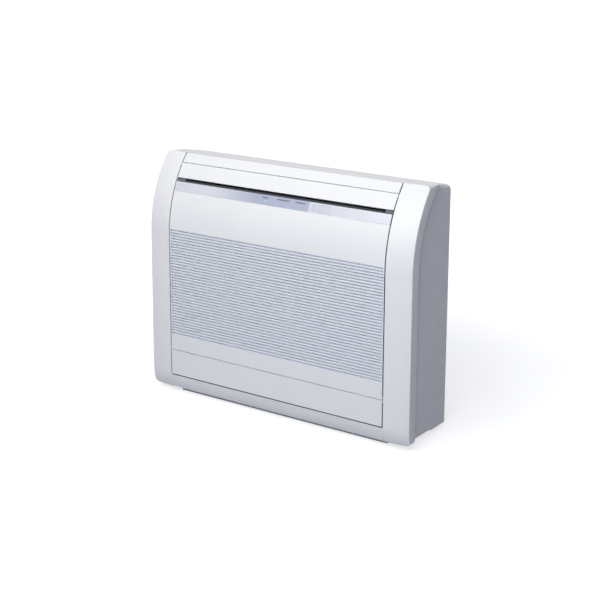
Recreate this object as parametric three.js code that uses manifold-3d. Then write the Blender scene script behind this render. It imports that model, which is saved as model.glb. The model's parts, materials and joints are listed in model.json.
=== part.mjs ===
// Floor standing air conditioner with an upper and a lower air outlet.
// Millimetres, +Z up, the front faces -Y, and the origin is on the floor under the middle.
import * as THREE from 'three';
import { mergeVertices } from 'three/addons/utils/BufferGeometryUtils.js';
import Module from 'manifold-3d';

const wasm = await Module();
wasm.setup();

// Overall size
const width = 740;
const depth = 200;
const height = 600;

// Form of the front face, seen from the side
const archRadius = 294;
const crestAngle = 40.9;
const toeRadius = 90;
const toeStart = 56;

// Positions on the arch, in degrees from the top of the flat front
const stripLowAngle = 21.4;
const stripTopAngle = 26;
const slotTopAngle = 28;
const railLowAngle = 35.7;

// Heights of the seams and openings on the front
const frontBottom = 16;
const fasciaTop = 49.3;
const lowerFlapBottom = 52.6;
const lowerFlapTop = 115.2;
const grilleBottom = 116.9;
const slotLowest = 158.9;
const slotTopDrop = 180.25;
const slotCount = 38;
const slotOpening = 2.7;

// Side covers, rear casing and base
const coverWidth = 63.75;
const coverGap = 3;
const coverBow = 7.5;
const stripDepth = 50;
const stripTaper = 9;
const coverBottom = 15;
const casingStep = 16;
const casingDepth = 62;
const casingBottom = 10;
const shoulderRadius = 12;
const footRadius = 10;
const seamDrop = 7;
const rearDrop = 19.6;
const recessMargin = 116;
const plinthInset = 7.75;
const plinthSetback = 34;
const plinthHeight = 15.6;

// Thicknesses and clearances
const wall = 2.5;
const fit = 0.3;
const lineGap = 0.8;
const seamGap = 0.5;
const pinRadius = 1.6;
const pinClear = 0.4;
const pivotInset = 3.2;

// Fans, ducts and vanes
const fanRadius = 38;
const fanGap = 4;
const shaftRadius = 4;
const bladeCount = 12;
const fanSetback = 120;
const ductInset = 12.55;
const ductWall = 2.4;
const upperFlow = 40;
const lowerFlow = 20;
const vaneCount = 5;
const vaneEnd = 70.7;
const vaneThickness = 1.8;

// Coil, filters and controls
const coilSetback = 21;
const coilDepth = 27;
const coilBottom = 166;
const coilTopDrop = 154;
const finCount = 28;
const bendCount = 6;
const filterBottom = 129;
const filterTopDrop = 95;
const windowMargin = 35.25;
const buttonZ = 300;
const controlTopDrop = 200;

// Planes and edges that follow from these
const frontY = -depth / 2;
const rearY = depth / 2;
const halfWidth = width / 2;
const coverHalf = halfWidth - coverWidth;
const panelHalf = coverHalf - coverGap;
const casingHalf = halfWidth - casingStep;
const ductHalf = panelHalf - ductInset;
const rearSeamY = rearY - casingDepth;
const rearSeamZ = height - seamDrop;
const rearTopZ = height - rearDrop;
const plinthHalf = coverHalf - plinthInset;
const plinthFront = frontY + plinthSetback;
const slotHighest = height - slotTopDrop;
const slotPitch = (slotHighest - slotLowest) / (slotCount - 1);
const vanePitch = 2 * (ductHalf - vaneEnd) / (vaneCount - 1);
const coilFront = frontY + coilSetback;
const coilRear = coilFront + coilDepth;
const coilTop = height - coilTopDrop;
const filterTop = height - filterTopDrop;
const windowEdge = panelHalf - windowMargin;
const archY = frontY + archRadius;
const archZ = height - archRadius * Math.sin(radians(crestAngle));
const crestY = archY - archRadius * Math.cos(radians(crestAngle));
const toeY = frontY + toeRadius;

const white = new THREE.Color(0xeef0f2);
const silver = new THREE.Color(0xcfd3de);
const grey = new THREE.Color(0x8f949c);
const dark = new THREE.Color(0x2f3238);
const metal = new THREE.Color(0xb9bec4);
const copper = new THREE.Color(0xb87548);
const green = new THREE.Color(0x2f6b45);
const smoke = new THREE.Color(0xa9aecb);

const group = new THREE.Group();
group.name = 'floor_standing_air_conditioner';

function radians(degrees) {
  return degrees * Math.PI / 180;
}

// Solids -------------------------------------------------------------------

function toSolid(geometry) {
  geometry.deleteAttribute('normal');
  geometry.deleteAttribute('uv');
  const merged = mergeVertices(geometry, 1e-4);
  const points = new Float32Array(merged.attributes.position.array);
  const faces = new Uint32Array(merged.index.array);
  let volume = 0;
  for (let i = 0; i < faces.length; i += 3) {
    const [a, b, c] = [0, 1, 2].map((k) => new THREE.Vector3().fromArray(points, faces[i + k] * 3));
    volume += a.dot(b.cross(c));
  }
  if (volume < 0) {
    faces.reverse();
  }
  return new wasm.Manifold(new wasm.Mesh({ numProp: 3, vertProperties: points, triVerts: faces }));
}

function outline(points) {
  return new THREE.Shape(points.map(([u, v]) => new THREE.Vector2(u, v)));
}

// Carries a flat outline through a list of stations; place gives each corner its x, y and z.
function sweep(points, stations, place, holes = []) {
  const shape = outline(points);
  for (const hole of holes) {
    shape.holes.push(outline(hole));
  }
  const steps = stations.length - 1;
  const geometry = new THREE.ExtrudeGeometry(shape, { depth: steps, steps, bevelEnabled: false });
  const corners = geometry.attributes.position;
  for (let i = 0; i < corners.count; i += 1) {
    const station = stations[Math.round(corners.getZ(i))];
    corners.setXYZ(i, ...place(corners.getX(i), corners.getY(i), station));
  }
  return toSolid(geometry);
}

function alongX(points, from, to, holes = []) {
  return sweep(points, [from, to], (y, z, x) => [x, y, z], holes);
}

function alongY(points, from, to, holes = []) {
  return sweep(points, [from, to], (x, z, y) => [x, y, z], holes);
}

function alongZ(points, from, to, holes = []) {
  return sweep(points, [from, to], (x, y, z) => [x, y, z], holes);
}

function box(x0, x1, y0, y1, z0, z1) {
  const geometry = new THREE.BoxGeometry(x1 - x0, y1 - y0, z1 - z0);
  geometry.translate((x0 + x1) / 2, (y0 + y1) / 2, (z0 + z1) / 2);
  return toSolid(geometry);
}

function circle([u, v], radius, sides = 16) {
  const points = [];
  for (let i = 0; i < sides; i += 1) {
    const angle = (i + 0.5) * 2 * Math.PI / sides;
    points.push([u + radius * Math.cos(angle), v + radius * Math.sin(angle)]);
  }
  return points;
}

function rectangle(u0, u1, v0, v1) {
  return [[u0, v0], [u1, v0], [u1, v1], [u0, v1]];
}

// A strip of even thickness along an open line of points.
function ribbon(line, thickness) {
  const left = [];
  const right = [];
  line.forEach(([u, v], i) => {
    const before = line[Math.max(i - 1, 0)];
    const after = line[Math.min(i + 1, line.length - 1)];
    const first = new THREE.Vector2(u - before[0], v - before[1]).normalize();
    const second = new THREE.Vector2(after[0] - u, after[1] - v).normalize();
    const normal = new THREE.Vector2(-first.y - second.y, first.x + second.x).normalize();
    const edge = i === 0 ? second : first;
    const reach = thickness / 2 / (normal.x * -edge.y + normal.y * edge.x);
    left.push([u + normal.x * reach, v + normal.y * reach]);
    right.push([u - normal.x * reach, v - normal.y * reach]);
  });
  return [...left, ...right.reverse()];
}

// A round bar along a bent line in space.
function pipe(points, radius, sides = 8, steps = 12) {
  const path = new THREE.CatmullRomCurve3(points.map((p) => new THREE.Vector3(...p)), false, 'chordal');
  const shape = outline(circle([0, 0], radius, sides));
  return toSolid(new THREE.ExtrudeGeometry(shape, { steps, bevelEnabled: false, extrudePath: path }));
}

function join(...solids) {
  return solids.flat().reduce((sum, solid) => sum.add(solid));
}

function cut(solid, ...cutters) {
  return cutters.flat().reduce((rest, cutter) => rest.subtract(cutter), solid);
}

function mirror(solid) {
  const mesh = solid.getMesh();
  const points = new Float32Array(mesh.vertProperties);
  for (let i = 0; i < points.length; i += 3) {
    points[i] = -points[i];
  }
  const faces = new Uint32Array(mesh.triVerts).reverse();
  return new wasm.Manifold(new wasm.Mesh({ numProp: 3, vertProperties: points, triVerts: faces }));
}

function add(name, solid, colour, roughness = 0.5, metalness = 0) {
  const mesh = solid.getMesh();
  const geometry = new THREE.BufferGeometry();
  geometry.setAttribute('position', new THREE.BufferAttribute(new Float32Array(mesh.vertProperties), 3));
  geometry.setIndex(new THREE.BufferAttribute(new Uint32Array(mesh.triVerts), 1));
  geometry.computeVertexNormals();
  const material = new THREE.MeshStandardMaterial({ color: colour, roughness, metalness });
  material.name = `${name}_material`;
  const node = new THREE.Mesh(geometry, material);
  node.name = name;
  group.add(node);
}

// Form of the casing -------------------------------------------------------

// The point behind the front face, square to it, by the height where the face is met.
function face(z, inset) {
  if (z < toeStart) {
    const angle = Math.asin((toeStart - z) / toeRadius);
    const radius = toeRadius - inset;
    return [toeY - radius * Math.cos(angle), toeStart - radius * Math.sin(angle)];
  }
  if (z <= archZ) {
    return [frontY + inset, z];
  }
  const angle = Math.asin((z - archZ) / archRadius);
  const radius = archRadius - inset;
  return [archY - radius * Math.cos(angle), archZ + radius * Math.sin(angle)];
}

function archHeight(degrees) {
  return archZ + archRadius * Math.sin(radians(degrees));
}

// Heights from low to high, with enough steps on the two curved parts.
function faceHeights(low, high, step = 4.1) {
  const heights = [low];
  const toeLow = Math.asin(Math.max(toeStart - low, 0) / toeRadius);
  const toeHigh = Math.asin(Math.max(toeStart - high, 0) / toeRadius);
  const toeSteps = Math.ceil((toeLow - toeHigh) / radians(step * 2));
  for (let i = 1; i <= toeSteps; i += 1) {
    heights.push(toeStart - toeRadius * Math.sin(toeLow + (toeHigh - toeLow) * i / toeSteps));
  }
  const archLow = Math.asin(Math.max(low - archZ, 0) / archRadius);
  const archHigh = Math.asin(Math.max(high - archZ, 0) / archRadius);
  if (low < archZ && high > archZ) {
    heights.push(archZ);
  }
  const archSteps = Math.ceil((archHigh - archLow) / radians(step));
  for (let i = 1; i <= archSteps; i += 1) {
    heights.push(archZ + archRadius * Math.sin(archLow + (archHigh - archLow) * i / archSteps));
  }
  if (high - heights[heights.length - 1] > 1e-6) {
    heights.push(high);
  }
  return heights;
}

// A layer that follows the front face between two heights and two insets.
function skin(low, high, outer, inner) {
  const heights = faceHeights(low, high);
  const front = heights.map((z) => face(z, outer));
  const back = heights.map((z) => face(z, inner));
  return [...front, ...back.reverse()];
}

function topHeight(y) {
  if (y < rearSeamY) {
    return height + (rearSeamZ - height) * Math.max(y - crestY, 0) / (rearSeamY - crestY);
  }
  return rearSeamZ + (rearTopZ - rearSeamZ) * (y - rearSeamY) / (rearY - rearSeamY);
}

// The height on the face where a layer at an inset meets a layer dropped from the top.
function archMeetsTop(inset, drop) {
  let angle = radians(crestAngle);
  for (let i = 0; i < 12; i += 1) {
    const y = archY - (archRadius - inset) * Math.cos(angle);
    angle = Math.asin((topHeight(y) - drop - archZ) / (archRadius - inset));
  }
  return archZ + archRadius * Math.sin(angle);
}

// The side view of all that lies behind the front face and under the top.
function sideView(inset, drop, bottom, back, ease = 0) {
  const toeAngle = Math.asin((toeStart - bottom) / (toeRadius - inset));
  const low = bottom < toeStart ? toeStart - toeRadius * Math.sin(toeAngle) : bottom;
  const points = faceHeights(low, archMeetsTop(inset, drop)).map((z) => face(z, inset));
  if (back > rearSeamY + ease) {
    points.push([rearSeamY, topHeight(rearSeamY) - drop]);
  }
  points.push([back - ease, topHeight(back - ease) - drop]);
  if (ease > 0) {
    points.push([back, topHeight(back) - drop - ease]);
  }
  points.push([back, bottom]);
  return points;
}

// A front view with a rounded shoulder and foot, carried back under the sloping top.
function shoulders(from, half, drop, bottom, foot, stations) {
  const radius = shoulderRadius - drop;
  const centre = [half - radius, height - drop - radius];
  const points = [[from, bottom]];
  for (let i = 0; i <= 3; i += 1) {
    const angle = i * Math.PI / 6;
    points.push([half - foot + foot * Math.sin(angle), bottom + foot - foot * Math.cos(angle)]);
  }
  for (let i = 0; i <= 4; i += 1) {
    const angle = i * Math.PI / 8;
    points.push([centre[0] + radius * Math.cos(angle), centre[1] + radius * Math.sin(angle)]);
  }
  points.push([from, height - drop]);
  const place = (x, z, y) => [x, y, z > height / 2 ? z - height + topHeight(y) : z];
  return sweep(points, stations, place);
}

// Side covers --------------------------------------------------------------

const edgeRadius = 3;

// Section of a cover across its front, given as x and inset behind the front face.
function coverSection(shrink) {
  const inner = coverHalf + shrink;
  const edge = halfWidth - edgeRadius;
  const points = [];
  for (let i = 0; i <= 5; i += 1) {
    const part = i / 5;
    points.push([inner + (edge - inner) * part, coverBow * part * part + shrink]);
  }
  const corner = edgeRadius - shrink;
  for (let i = 1; i <= 2; i += 1) {
    const angle = i * Math.PI / 4;
    points.push([edge + corner * Math.sin(angle), coverBow + edgeRadius - corner * Math.cos(angle)]);
  }
  const stripEdge = halfWidth - stripTaper - shrink;
  const far = rearSeamY - frontY + 12;
  points.push([stripEdge, stripDepth], [casingHalf - shrink, stripDepth + 3]);
  points.push([casingHalf - shrink, far], [inner, far]);
  return points;
}

function toeSetback(z) {
  return face(z, 0)[0] - frontY;
}

function coverSolid(shrink, back) {
  const stations = faceHeights(coverBottom - 4, archHeight(56), 4.3);
  const bent = sweep(coverSection(shrink), stations, (x, inset, z) => {
    if (z < toeStart) {
      return [x, frontY + inset + toeSetback(z) * Math.max(0, 1 - inset / stripDepth), z];
    }
    const [y, up] = face(z, inset);
    return [x, y, up];
  });
  const side = alongX(sideView(shrink, shrink, coverBottom + shrink, back), coverHalf - 1, halfWidth + 1);
  const frame = [frontY - 1, crestY, rearSeamY + 2];
  const low = coverBottom + shrink;
  const round = shoulders(coverHalf - 1, halfWidth - shrink, shrink, low, footRadius - shrink, frame);
  return bent.intersect(side).intersect(round);
}

const returnDepth = 22;
const flapPivot = face(lowerFlapTop - pivotInset, pivotInset);
const grillePivot = face(grilleBottom + pivotInset, pivotInset);
const upperFlapTop = archHeight(railLowAngle) - lineGap / 2;
const upperPivot = face(upperFlapTop - pivotInset, pivotInset);
const pivots = [flapPivot, grillePivot, upperPivot];

function sideCover() {
  const outer = coverSolid(0, rearSeamY - seamGap / 2);
  const inner = coverSolid(wall, rearSeamY + 1);
  const shell = cut(outer, inner);
  const opening = sideView(returnDepth, wall, coverBottom + wall, rearSeamY + 1);
  const openSide = alongX(opening, coverHalf - 1, coverHalf + wall + 0.1);
  const bores = pivots.map((point) => {
    return alongX(circle(point, pinRadius + pinClear, 12), coverHalf - 1, coverHalf + wall);
  });
  return cut(shell, openSide, ...bores);
}

const rightCover = sideCover();
add('right_side_cover', rightCover, white, 0.4);
add('left_side_cover', mirror(rightCover), white, 0.4);

// Rear casing, top cover, top rail, bottom fascia and base -------------------

function rearShell(shrink, front) {
  const radius = 3;
  const back = rearY - shrink;
  const top = topHeight(back) - shrink;
  const view = [
    [front, casingBottom + shrink],
    [back, casingBottom + shrink],
    [back, top - radius],
    [back - radius, topHeight(back - radius) - shrink],
    [front, topHeight(front) - shrink],
  ];
  const side = alongX(view, -halfWidth, halfWidth);
  const low = casingBottom + shrink;
  const half = shoulders(0, casingHalf - shrink, shrink, low, 3, [front, rearY + 1]);
  return side.intersect(join(half, mirror(half)));
}

function rearCasing() {
  const front = rearSeamY + seamGap / 2;
  const shell = cut(rearShell(0, front), rearShell(wall, front - 1));
  const baseHalf = plinthHalf + 1;
  const underside = box(-baseHalf, baseHalf, front - 1, rearY - wall - 3, 5, casingBottom + wall + 1);
  const rest = plinthHeight + fit;
  const ledge = box(-ductHalf + 10, ductHalf - 10, rearY - 30, rearY - wall + 0.5, rest, rest + wall);
  const recessHalf = casingHalf - recessMargin;
  const [recessLow, recessHigh] = [recessMargin + 4, height - 100];
  const recess = box(-recessHalf, recessHalf, rearY - 1, rearY + 1, recessLow, recessHigh);
  const hooks = [-1, 1].map((side) => {
    const x = side * (recessHalf - 50);
    return box(x - 20, x + 20, rearY - 1.2, rearY + 1, recessHigh + 30, recessHigh + 42);
  });
  const ribs = [-3, -1, 1, 3].map((place) => {
    const x = place * recessHalf / 5;
    return box(x - 2, x + 2, rearY - 1.5, rearY, recessLow - 10, recessHigh + 10);
  });
  return join(cut(shell, underside, recess, ...hooks), ledge, ...ribs);
}

add('rear_casing', rearCasing(), white, 0.5);

function topCover() {
  const front = crestY + lineGap;
  const back = rearSeamY - seamGap / 2;
  const reach = wall / Math.tan(radians(crestAngle));
  const plate = alongX([
    [front, topHeight(front)],
    [back, topHeight(back)],
    [back, topHeight(back) - wall],
    [front + reach, topHeight(front) - wall],
  ], -coverHalf + seamGap, coverHalf - seamGap);
  const lips = [front + reach + 4, back - 6].map((y) => {
    return box(-ductHalf, ductHalf, y, y + 2, topHeight(y) - 11, topHeight(y) - 1.5);
  });
  return join(plate, ...lips);
}

add('top_cover', topCover(), white, 0.4);

function topRail() {
  const low = archHeight(railLowAngle) + lineGap / 2;
  const plate = alongX(skin(low, height - 0.2, 0, wall), -panelHalf, panelHalf);
  const foot = alongX(skin(low, low + wall, wall - 0.2, 8), -panelHalf, panelHalf);
  return join(plate, foot);
}

add('top_rail', topRail(), white, 0.4);

function bottomFascia() {
  const reach = coverHalf - seamGap;
  const plate = alongX(skin(frontBottom, fasciaTop, 0, wall), -reach, reach);
  const toe = face(frontBottom, wall);
  const rest = plinthHeight + fit;
  const shelf = box(-panelHalf, panelHalf, toe[0] - 1.4, plinthFront + wall, rest, rest + wall);
  const lip = box(-panelHalf, panelHalf, frontY + 1.8, frontY + 15, fasciaTop - wall, fasciaTop);
  const webs = [-3, -1, 1, 3].map((place) => {
    const x = place * (panelHalf - 3.6) / 4;
    return box(x - 1, x + 1, frontY + 6, frontY + 14, rest + 1, fasciaTop - 1);
  });
  return join(plate, shelf, lip, ...webs);
}

add('bottom_fascia', bottomFascia(), white, 0.4);

function basePlinth() {
  const body = box(-plinthHalf, plinthHalf, plinthFront, rearY - 6, 0, plinthHeight);
  const inside = box(-plinthHalf + 3, plinthHalf - 3, plinthFront + 3, rearY - 9, 3, plinthHeight + 1);
  const bosses = [-plinthHalf + 48.5, plinthHalf - 48.5].flatMap((x) => {
    return [plinthFront + 21, rearY - 25].map((y) => alongZ(circle([x, y], 7, 12), 2.5, plinthHeight - 4));
  });
  const ribs = [-1, 0, 1].map((place) => {
    const x = place * (plinthHalf - 58.5) / 2;
    return box(x - 1.5, x + 1.5, plinthFront + 1, rearY - 7, 2.5, 10);
  });
  return join(cut(body, inside), ...bosses, ...ribs);
}

add('base_plinth', basePlinth(), grey, 0.6);

// Partitions that carry the works -------------------------------------------

const partitionIn = ductHalf + fit;
const partitionOut = partitionIn + wall;
const frameFront = 13.6;
const frameRear = 16.4;
const partitionInset = frameRear + fit;
const flangeInset = returnDepth + fit;
const plinthFloor = 3;

const rimHeight = plinthHeight + 3;
const upperSin = Math.sin(radians(upperFlow));
const upperCos = Math.cos(radians(upperFlow));
const lowerSin = Math.sin(radians(lowerFlow));
const lowerCos = Math.cos(radians(lowerFlow));

// A duct has a floor line from its mouth, inwards along the flow, and a height across it.
// Its fan lies across the flow from the floor line by a set amount, behind the front face.
// Its vanes have their front, pivot and rear along the floor, and slant with the front face.
const upperDuct = {
  lip: face(archHeight(stripTopAngle), 13.5),
  inward: [upperCos, -upperSin],
  across: [upperSin, upperCos],
  height: 43.5,
  roofStart: -6,
  fanAcross: 0,
  turn: -120,
  roofRound: true,
  vane: { front: 9, pivot: 24, rear: 42, slant: 0 },
};
const lowerDuct = {
  lip: [frontY + 13, fasciaTop + fit + ductWall / 2],
  inward: [lowerCos, lowerSin],
  across: [-lowerSin, lowerCos],
  height: 59.5,
  roofStart: 22,
  fanAcross: 47.2,
  turn: 120,
  roofRound: false,
  vane: { front: 14, pivot: 42, rear: 58, slant: Math.tan(radians(lowerFlow)) },
};

for (const duct of [upperDuct, lowerDuct]) {
  const y = frontY + fanSetback;
  const rise = (duct.fanAcross - (y - duct.lip[0]) * duct.across[0]) / duct.across[1];
  duct.fan = [y, duct.lip[1] + rise];
}

function onDuct(duct, along, across) {
  return [0, 1].map((k) => duct.lip[k] + duct.inward[k] * along + duct.across[k] * across);
}

function partition() {
  const view = sideView(partitionInset, wall + fit, rimHeight, rearY - wall - fit, 4);
  const foot = [
    [rearY - 9 - fit, rimHeight],
    [rearY - 9 - fit, plinthFloor + fit],
    [plinthFront + 3 + fit, plinthFloor + fit],
    [plinthFront + 3 + fit, rimHeight],
  ];
  const coilWindow = rectangle(coilFront + 3, coilRear - 3, coilBottom + 7, coilTop - 7);
  const plate = alongX([...view, ...foot], partitionIn, partitionOut, [
    coilWindow,
    circle(upperDuct.fan, 11.6),
    circle(lowerDuct.fan, 11.6),
  ]);
  const [soleFront, soleRear] = [plinthFront + 26, rearY - 30];
  const under = plinthFloor + fit;
  const sole = box(partitionIn - 12, partitionIn + 1, soleFront, soleRear, under, under + 2);
  const backY = rearY - wall - fit;
  const back = box(partitionIn - 12, partitionIn + 1, backY - 2, backY, 30, height - 40);
  const high = archHeight(33);
  const wing = alongX(skin(28, high, flangeInset, flangeInset + 2), partitionIn + 0.5, coverHalf + 6);
  return join(plate, sole, back, wing);
}

const rightPartition = partition();
add('right_partition', rightPartition, metal, 0.4, 0.8);
add('left_partition', mirror(rightPartition), metal, 0.4, 0.8);

// Front frame and filters ----------------------------------------------------

const frameBottom = 119.5;
const frameTop = archHeight(stripTopAngle - 0.8);
const buttonX = windowEdge + 11;
const switchZ = buttonZ - 45;
const windowBottom = filterBottom + 7;
const windowTop = filterTop - 7;
const mullion = 8;

function frontFrame() {
  const plate = alongX(skin(frameBottom, frameTop, frameFront, frameRear), -panelHalf, panelHalf);
  const windows = [-1, 1].map((side) => {
    const [from, to] = side < 0 ? [-windowEdge, -mullion] : [mullion, windowEdge];
    return alongX(skin(windowBottom, windowTop, frameFront - 1, frameRear + 1), from, to);
  });
  const mullions = [-1, 1].map((side) => {
    const x = side * (windowEdge + mullion) / 2;
    return alongX(skin(windowBottom - 2, windowTop + 2, frameFront + 0.4, frameRear - 0.4), x - 3, x + 3);
  });
  const bars = [1, 2, 3].map((row) => {
    const z = windowBottom + (windowTop - windowBottom) * row / 4;
    return alongX(skin(z - 3, z + 3, frameFront + 0.8, frameRear - 0.8), -windowEdge - 1, windowEdge + 1);
  });
  const guides = [-windowEdge - 7.2, windowEdge + 5.2].map((x) => {
    return alongX(skin(filterBottom, filterTop - 80, 10.5, frameFront + 0.5), x, x + 2);
  });
  const shelf = skin(filterBottom - 4, filterBottom - 2, 10.5, frameFront + 0.5);
  const ledge = alongX(shelf, -windowEdge, windowEdge);
  const hole = alongY(circle([buttonX, buttonZ], 4.3, 16), frontY + 12, frontY + 18);
  const slot = box(buttonX - 2.4, buttonX + 2.4, frontY + 12, frontY + 18, switchZ - 6.5, switchZ + 6.5);
  return join(cut(plate, ...windows), ...mullions, ...bars, ...guides, ledge).subtract(hole).subtract(slot);
}

add('front_frame', frontFrame(), white, 0.5);

function airFilter() {
  const outer = 10.4;
  const inner = frameFront - fit;
  const middle = (outer + inner) / 2;
  const [from, to] = [6, windowEdge + 4.6];
  const mesh = alongX(skin(filterBottom + 2, filterTop - 2, middle - 0.3, middle + 0.3), from + 3, to - 3);
  const uprights = [from, (from + to) / 2 - 2.5, to - 5].map((x) => {
    return alongX(skin(filterBottom, filterTop, outer, inner), x, x + 5);
  });
  const levels = 5;
  const rows = [];
  for (let i = 0; i < levels; i += 1) {
    const z = filterBottom + 1 + (filterTop - 6 - filterBottom) * i / (levels - 1);
    rows.push(alongX(skin(z, z + 4, outer + 0.4, inner - 0.4), from + 2, to - 2));
  }
  return join(mesh, ...uprights, ...rows);
}

const rightFilter = airFilter();
add('right_air_filter', rightFilter, dark, 0.7);
add('left_air_filter', mirror(rightFilter), dark, 0.7);

function grilleCatch() {
  const low = filterTop + 7;
  const body = alongX(skin(low, low + 14, 9.8, frameFront - fit), windowEdge - 6, windowEdge + 8);
  const tongue = alongX(skin(low + 5, low + 9, 8.6, 10.2), windowEdge - 3, windowEdge + 5);
  return join(body, tongue);
}

const rightCatch = grilleCatch();
add('right_grille_catch', rightCatch, grey, 0.5);
add('left_grille_catch', mirror(rightCatch), grey, 0.5);

// Intake grille, its display strip and windows --------------------------------

const stripLow = archHeight(stripLowAngle);
const stripTop = archHeight(stripTopAngle);
const stripThickness = 2.2;
const seatInset = stripThickness + fit;
const lensXs = [-36, 15, 63];
const lensWidth = 11;
const lensAngle = 23.3;
const lensHeight = 3.2;
const windowXs = [96, 146];

function intakeGrille() {
  const reach = panelHalf;
  const top = stripLow - fit;
  const panel = alongX([
    ...faceHeights(grilleBottom, top).map((z) => face(z, 0)),
    ...faceHeights(top, stripTop).map((z) => face(z, seatInset)),
    ...faceHeights(top - 3, stripTop).map((z) => face(z, seatInset + wall)).reverse(),
    ...faceHeights(grilleBottom, top - 3).map((z) => face(z, wall)).reverse(),
  ], -reach, reach);
  const ribXs = [-reach + 10, 0, reach - 10];
  const ribs = ribXs.map((x) => alongX(skin(grilleBottom + 2, top - 1, 1.2, 7.4), x - 1, x + 1));
  const bars = [grilleBottom + 8, slotLowest - 6, slotHighest + 6, top - 7].map((z) => {
    return alongX(skin(z - 1, z + 1, 1.6, 6.8), ribXs[0], ribXs[2]);
  });
  const slots = [];
  for (let i = 0; i < slotCount; i += 1) {
    slots.push(slotCutter(slotLowest + slotPitch * i));
  }
  const barrel = alongX(circle(grillePivot, 3, 12), -reach, reach);
  const pins = alongX(circle(grillePivot, pinRadius, 12), -coverHalf - 1.7, coverHalf + 1.7);
  return join(cut(join(panel, ...ribs, ...bars), ...slots), barrel, pins);
}

// Each slot is wider at the face, so that the slats have eased edges, and notches the ribs.
function slotCutter(z) {
  const half = slotOpening / 2;
  const edge = [[-1, half + 1.9], [0.9, half], [wall + 2, half]];
  const below = edge.map(([inset, reach]) => face(z - reach, inset));
  const above = edge.map(([inset, reach]) => face(z + reach, inset));
  return alongX([...below, ...above.reverse()], -panelHalf + 3, panelHalf - 2.2);
}

add('intake_grille', intakeGrille(), white, 0.4);

function displayStrip() {
  const strip = alongX(skin(stripLow, stripTop, 0, stripThickness), -panelHalf, panelHalf);
  const half = lensHeight / 2 + fit;
  const middle = archHeight(lensAngle);
  const holes = lensXs.map((x) => {
    const reach = lensWidth / 2 + fit;
    return alongX(skin(middle - half, middle + half, -1, 5), x - reach, x + reach);
  });
  const receiver = alongX(skin(stripLow + 4, stripTop - 4, -1, 5), windowXs[0], windowXs[1]);
  return cut(strip, ...holes, receiver);
}

add('display_strip', displayStrip(), silver, 0.3, 0.3);

lensXs.forEach((x, i) => {
  const middle = archHeight(lensAngle);
  const half = lensHeight / 2;
  const view = skin(middle - half, middle + half, 0.1, stripThickness);
  const lens = alongX(view, x - lensWidth / 2, x + lensWidth / 2);
  add(`indicator_lens_${i + 1}`, lens, smoke, 0.2);
});

const receiverWindow = alongX(
  skin(stripLow + 4 + fit, stripTop - 4 - fit, 0.1, stripThickness),
  windowXs[0] + fit,
  windowXs[1] - fit,
);
add('receiver_window', receiverWindow, smoke, 0.1);

function displayBoard() {
  const low = stripLow + 3;
  const high = stripTop - 3;
  const [from, to] = [lensXs[0] - 23, windowXs[1] + 22];
  const board = alongX(skin(low, high, 11.7, frameFront - fit), from, to);
  const lamps = lensXs.map((x) => {
    return alongX(skin(archHeight(lensAngle) - 2, archHeight(lensAngle) + 2, 9.9, 12), x - 2.5, x + 2.5);
  });
  const eye = alongX(skin(low + 4, low + 11, 9.5, 12), windowXs[0] + 19, windowXs[0] + 31);
  return join(board, ...lamps, eye);
}

add('display_board', displayBoard(), green, 0.5);

// Louvers ----------------------------------------------------------------------

// The louver's top edge is eased, so that it clears the rail as it turns.
function upperLouver() {
  const low = archHeight(slotTopAngle);
  const ease = 1.2;
  const plate = alongX([
    ...faceHeights(low, upperFlapTop - ease).map((z) => face(z, 0)),
    face(upperFlapTop, ease),
    ...faceHeights(low, upperFlapTop).map((z) => face(z, wall)).reverse(),
  ], -panelHalf, panelHalf);
  const bead = alongX(skin(low, low + 2, wall - 0.2, 6), -panelHalf + 8, panelHalf - 8);
  const barrel = alongX(circle(upperPivot, 2.9, 12), -panelHalf, panelHalf);
  const pins = alongX(circle(upperPivot, pinRadius, 12), -coverHalf - 1.7, coverHalf + 1.7);
  return join(plate, bead, barrel, pins);
}

add('upper_louver', upperLouver(), white, 0.4);

function lowerLouver() {
  const plate = alongX(skin(lowerFlapBottom, lowerFlapTop, 0, wall), -panelHalf, panelHalf);
  const edgeHalf = panelHalf - 10;
  const edge = alongX(skin(lowerFlapBottom, lowerFlapBottom + 2, wall - 0.2, 6), -edgeHalf, edgeHalf);
  const ribs = [-3, -1, 1, 3].map((place) => {
    const x = place * (panelHalf - 63.6) / 3;
    return alongX(skin(lowerFlapBottom + 1, lowerFlapTop - 6, wall - 0.2, 6), x - 1, x + 1);
  });
  const barrel = alongX(circle(flapPivot, 3, 12), -panelHalf, panelHalf);
  const pins = alongX(circle(flapPivot, pinRadius, 12), -coverHalf - 1.7, coverHalf + 1.7);
  return join(plate, edge, ...ribs, barrel, pins);
}

add('lower_louver', lowerLouver(), white, 0.4);

// Ducts, fans and their drives ---------------------------------------------------

// One side of a duct ends in a tongue beside the fan, and the other goes on round the fan.
function ductLines(duct) {
  const toFan = [duct.fan[0] - duct.lip[0], duct.fan[1] - duct.lip[1]];
  const along = toFan[0] * duct.inward[0] + toFan[1] * duct.inward[1];
  const across = toFan[0] * duct.across[0] + toFan[1] * duct.across[1];
  const far = duct.roofRound ? duct.height : 0;
  const near = duct.roofRound ? 0 : duct.height;
  const tongue = along - Math.sqrt((fanRadius + fanGap) ** 2 - (near - across) ** 2);
  const begin = (level) => (level > 0 ? duct.roofStart : 0);
  const short = [onDuct(duct, begin(near), near), onDuct(duct, tongue, near)];
  const radius = Math.abs(far - across);
  const start = Math.atan2(duct.across[1], duct.across[0]) + (duct.roofRound ? 0 : Math.PI);
  const long = [onDuct(duct, begin(far), far)];
  const steps = 9;
  for (let i = 0; i <= steps; i += 1) {
    const angle = start + radians(duct.turn) * i / steps;
    const reach = radius + (fanRadius + fanGap - radius) * i / steps;
    long.push([duct.fan[0] + reach * Math.cos(angle), duct.fan[1] + reach * Math.sin(angle)]);
  }
  return { short, long };
}

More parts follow.
